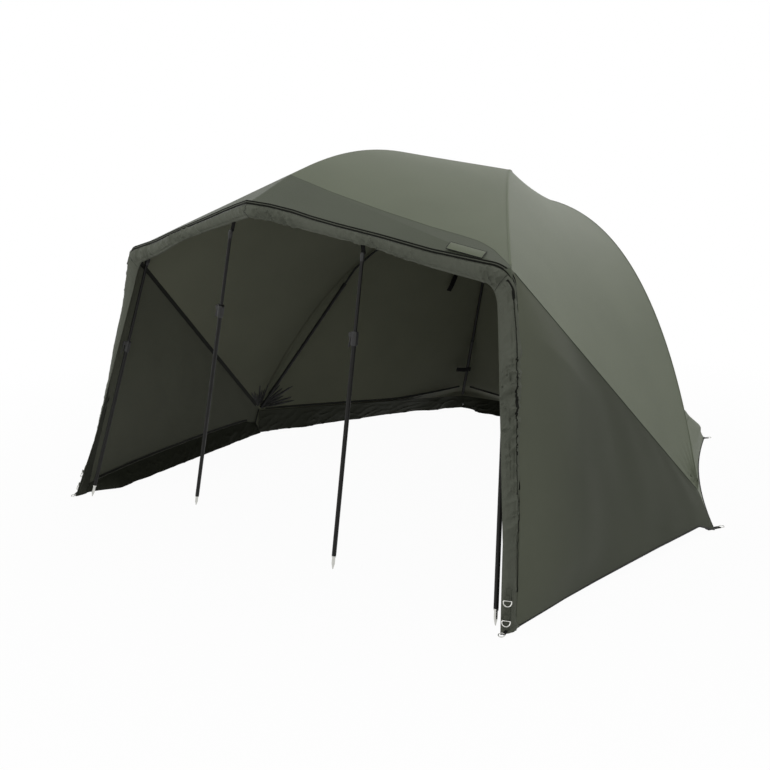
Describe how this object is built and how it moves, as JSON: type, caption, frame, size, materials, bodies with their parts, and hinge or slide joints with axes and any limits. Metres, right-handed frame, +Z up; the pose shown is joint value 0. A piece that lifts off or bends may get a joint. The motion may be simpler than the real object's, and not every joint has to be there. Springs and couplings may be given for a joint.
{
  "type": "fishing umbrella shelter",
  "caption": "Fishing umbrella shelter with an open mouth: ribs that fold from a rear hub, sewn fabric walls to the ground, mud flaps and telescopic cam-lock poles.",
  "frame": {"origin": "middle of the ground rectangle, on the ground", "axes": "+Z up, the open mouth faces -Y, +X to the right seen from the front"},
  "size_m": [2.569, 2.6758, 1.4742],
  "materials": {
    "canopy": "woven, coated, slightly glossy",
    "side": "woven, matt",
    "band": "padded, matt",
    "rod": "black, satin",
    "plastic": "matt",
    "steel": "bright"
  },
  "bodies": {
    "hub": {"hub_body": "plastic", "hub_wire": "steel", "hub_cap": "plastic"},
    "centre_rib": {"rib_centre": "rod", "visor": "canopy", "front_band": "band"},
    "corner_rib_left": {"rib_corner_left": "rod", "roof_gore_left": "canopy"},
    "side_rib_left": {"rib_side_left": "rod", "flank_gore_left": "canopy", "side_panel_left": "side", "mud_flap_side_left": "side"},
    "side_sleeve_left": {"sleeve_side_left": "rod"},
    "rear_rib_left": {"rib_rear_left": "rod", "rear_side_gore_left": "canopy", "mud_flap_rear_left": "side", "rear_gore": "canopy", "mud_flap_back": "side"},
    "rear_sleeve_left": {"sleeve_rear_left": "rod"},
    "corner_pole_left_top": {"corner_pole_left_head": "plastic", "corner_pole_left_upper": "rod", "leg_band_left": "band", "corner_strap_left": "band", "corner_ring_left": "steel"},
    "storm_pole_left_top": {"storm_pole_left_head": "plastic", "storm_pole_left_upper": "rod"},
    "corner_pole_left_foot": {"corner_pole_left_lower": "rod", "corner_pole_left_collar": "plastic", "corner_pole_left_spike": "steel"},
    "corner_pole_left_cam": {"corner_pole_left_lever": "plastic"},
    "storm_pole_left_foot": {"storm_pole_left_lower": "rod", "storm_pole_left_collar": "plastic", "storm_pole_left_spike": "steel"},
    "storm_pole_left_cam": {"storm_pole_left_lever": "plastic"},
    "corner_rib_right": {"rib_corner_right": "rod", "roof_gore_right": "canopy"},
    "side_rib_right": {"rib_side_right": "rod", "flank_gore_right": "canopy", "side_panel_right": "side", "mud_flap_side_right": "side"},
    "side_sleeve_right": {"sleeve_side_right": "rod"},
    "rear_rib_right": {"rib_rear_right": "rod", "rear_side_gore_right": "canopy", "mud_flap_rear_right": "side"},
    "rear_sleeve_right": {"sleeve_rear_right": "rod"},
    "corner_pole_right_top": {"corner_pole_right_head": "plastic", "corner_pole_right_upper": "rod", "leg_band_right": "band", "corner_strap_right": "band", "corner_ring_right": "steel"},
    "storm_pole_right_top": {"storm_pole_right_head": "plastic", "storm_pole_right_upper": "rod"},
    "corner_pole_right_foot": {"corner_pole_right_lower": "rod", "corner_pole_right_collar": "plastic", "corner_pole_right_spike": "steel"},
    "corner_pole_right_cam": {"corner_pole_right_lever": "plastic"},
    "storm_pole_right_foot": {"storm_pole_right_lower": "rod", "storm_pole_right_collar": "plastic", "storm_pole_right_spike": "steel"},
    "storm_pole_right_cam": {"storm_pole_right_lever": "plastic"}
  },
  "joints": [
    {"name": "fold_centre", "type": "hinge", "parent": "hub", "child": "centre_rib", "pos_m": [0, 0.54556, 1.27018], "axis": [1, 0, 0], "range_deg": [0, 83], "deforming": ["visor", "front_band"]},
    {"name": "fold_corner_left", "type": "hinge", "parent": "hub", "child": "corner_rib_left", "pos_m": [-0.02041, 0.55085, 1.27018], "axis": [0.874, -0.486, 0], "range_deg": [0, 78.1], "deforming": ["roof_gore_left"]},
    {"name": "swivel_corner_pole_left", "type": "hinge", "parent": "corner_rib_left", "child": "corner_pole_left_top", "pos_m": [-0.885, -1.01844, 1.03737], "axis": [0.874, -0.486, 0], "range_deg": [-78.1, 0], "deforming": ["leg_band_left"]},
    {"name": "fold_side_left", "type": "hinge", "parent": "hub", "child": "side_rib_left", "pos_m": [-0.03703, 0.56775, 1.27018], "axis": [0.4717, -0.8818, 0], "range_deg": [0, 45], "deforming": ["flank_gore_left", "side_panel_left", "mud_flap_side_left"]},
    {"name": "fold_rear_left", "type": "hinge", "parent": "hub", "child": "rear_rib_left", "pos_m": [-0.03145, 0.6154, 1.27018], "axis": [-0.6629, -0.7487, 0], "range_deg": [0, 31], "deforming": ["rear_side_gore_left", "mud_flap_rear_left", "rear_gore", "mud_flap_back"]},
    {"name": "tension_side_left", "type": "slide", "parent": "side_rib_left", "child": "side_sleeve_left", "axis": [0.4426, 0.3543, 0.8237], "range_m": [0, 0.058]},
    {"name": "tension_rear_left", "type": "slide", "parent": "rear_rib_left", "child": "rear_sleeve_left", "axis": [0.342, -0.3024, 0.8897], "range_m": [0, 0.058]},
    {"name": "swivel_storm_pole_left", "type": "hinge", "parent": "hub", "child": "storm_pole_left_top", "pos_m": [-0.11, -1.25935, 1.16166], "axis": [1, 0, 0], "range_deg": [-20, 20]},
    {"name": "slide_corner_pole_left", "type": "slide", "parent": "corner_pole_left_top", "child": "corner_pole_left_foot", "axis": [0.1252, 0.2448, 0.9615], "range_m": [0, 0.3]},
    {"name": "cam_corner_pole_left", "type": "hinge", "parent": "corner_pole_left_foot", "child": "corner_pole_left_cam", "pos_m": [-0.94135, -1.12732, 0.66866], "axis": [-0.8739, 0.486, -0.01], "range_deg": [0, 110]},
    {"name": "slide_storm_pole_left", "type": "slide", "parent": "storm_pole_left_top", "child": "storm_pole_left_foot", "axis": [0.3647, -0.1403, 0.9205], "range_m": [0, 0.2]},
    {"name": "cam_storm_pole_left", "type": "hinge", "parent": "storm_pole_left_foot", "child": "storm_pole_left_cam", "pos_m": [-0.23818, -1.21687, 0.88286], "axis": [0, 0.9886, 0.1506], "range_deg": [0, 110]},
    {"name": "fold_corner_right", "type": "hinge", "parent": "hub", "child": "corner_rib_right", "pos_m": [0.02041, 0.55085, 1.27018], "axis": [0.874, 0.486, 0], "range_deg": [0, 78.1], "deforming": ["roof_gore_right"]},
    {"name": "swivel_corner_pole_right", "type": "hinge", "parent": "corner_rib_right", "child": "corner_pole_right_top", "pos_m": [0.885, -1.01844, 1.03737], "axis": [0.874, 0.486, 0], "range_deg": [-78.1, 0], "deforming": ["leg_band_right"]},
    {"name": "fold_side_right", "type": "hinge", "parent": "hub", "child": "side_rib_right", "pos_m": [0.03703, 0.56775, 1.27018], "axis": [0.4717, 0.8818, 0], "range_deg": [0, 45], "deforming": ["flank_gore_right", "side_panel_right", "mud_flap_side_right"]},
    {"name": "fold_rear_right", "type": "hinge", "parent": "hub", "child": "rear_rib_right", "pos_m": [0.03145, 0.6154, 1.27018], "axis": [-0.6629, 0.7487, 0], "range_deg": [0, 31], "deforming": ["rear_side_gore_right", "mud_flap_rear_right"]},
    {"name": "tension_side_right", "type": "slide", "parent": "side_rib_right", "child": "side_sleeve_right", "axis": [-0.4426, 0.3543, 0.8237], "range_m": [0, 0.058]},
    {"name": "tension_rear_right", "type": "slide", "parent": "rear_rib_right", "child": "rear_sleeve_right", "axis": [-0.342, -0.3024, 0.8897], "range_m": [0, 0.058]},
    {"name": "swivel_storm_pole_right", "type": "hinge", "parent": "hub", "child": "storm_pole_right_top", "pos_m": [0.43, -1.1841, 1.09642], "axis": [1, 0, 0], "range_deg": [-20, 20]},
    {"name": "slide_corner_pole_right", "type": "slide", "parent": "corner_pole_right_top", "child": "corner_pole_right_foot", "axis": [-0.1252, 0.2448, 0.9615], "range_m": [0, 0.3]},
    {"name": "cam_corner_pole_right", "type": "hinge", "parent": "corner_pole_right_foot", "child": "corner_pole_right_cam", "pos_m": [0.94135, -1.12732, 0.66866], "axis": [-0.8739, -0.486, 0.01], "range_deg": [0, 110]},
    {"name": "slide_storm_pole_right", "type": "slide", "parent": "storm_pole_right_top", "child": "storm_pole_right_foot", "axis": [0.0772, 0.0639, 0.995], "range_m": [0, 0.2]},
    {"name": "cam_storm_pole_right", "type": "hinge", "parent": "storm_pole_right_foot", "child": "storm_pole_right_cam", "pos_m": [0.39276, -1.20122, 0.8297], "axis": [0, 0.9979, -0.0641], "range_deg": [0, 110]}
  ],
  "couplings": [
    {"joint": "fold_corner_left", "follows": "fold_centre", "ratio": 0.94},
    {"joint": "swivel_corner_pole_left", "follows": "fold_centre", "ratio": -0.94},
    {"joint": "fold_side_left", "follows": "fold_centre", "ratio": 0.542},
    {"joint": "fold_rear_left", "follows": "fold_centre", "ratio": 0.373},
    {"joint": "fold_corner_right", "follows": "fold_centre", "ratio": 0.94},
    {"joint": "swivel_corner_pole_right", "follows": "fold_centre", "ratio": -0.94},
    {"joint": "fold_side_right", "follows": "fold_centre", "ratio": 0.542},
    {"joint": "fold_rear_right", "follows": "fold_centre", "ratio": 0.373}
  ]
}
